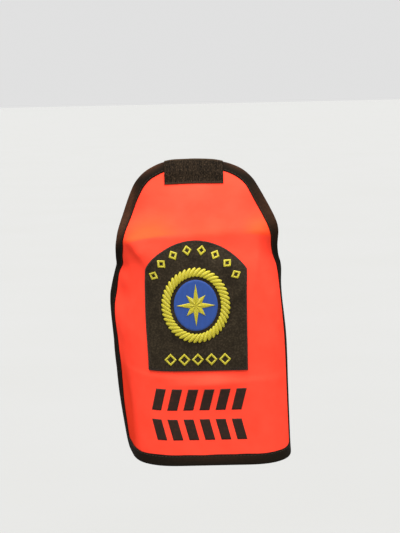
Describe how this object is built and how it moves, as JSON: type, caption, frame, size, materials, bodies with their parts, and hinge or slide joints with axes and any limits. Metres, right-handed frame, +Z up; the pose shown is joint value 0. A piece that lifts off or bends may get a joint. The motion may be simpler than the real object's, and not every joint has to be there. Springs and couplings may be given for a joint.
{
  "type": "high-visibility armband",
  "caption": "Bound fluorescent cloth panel curved round the upper arm, with a woven badge, folded hook tape at the top and an elastic strap behind the arm.",
  "frame": {"origin": "middle of the arm hollow, at half the height of the back strap", "axes": "+Z up along the arm towards the shoulder, -Y out of the panel's face, +X towards the wearer's front"},
  "size_m": [0.1653, 0.1348, 0.2774],
  "materials": {
    "coated_cloth": "coated plain-weave polyester, satin",
    "binding_tape": "woven tape, matte",
    "hook_tape": "ribbed hook tape, matte",
    "badge_cloth": "woven twill, matte",
    "blue_thread": "satin-stitch embroidery",
    "yellow_thread": "satin-stitch embroidery",
    "print_ink": "screen print, matte",
    "elastic": "woven elastic, matte"
  },
  "bodies": {
    "root": {"panel": "coated_cloth", "edge_binding": "binding_tape", "hem_binding": "binding_tape", "hook_tape": "hook_tape", "badge": "badge_cloth", "badge_emblem": "blue_thread", "back_strap": "elastic"}
  },
  "joints": []
}
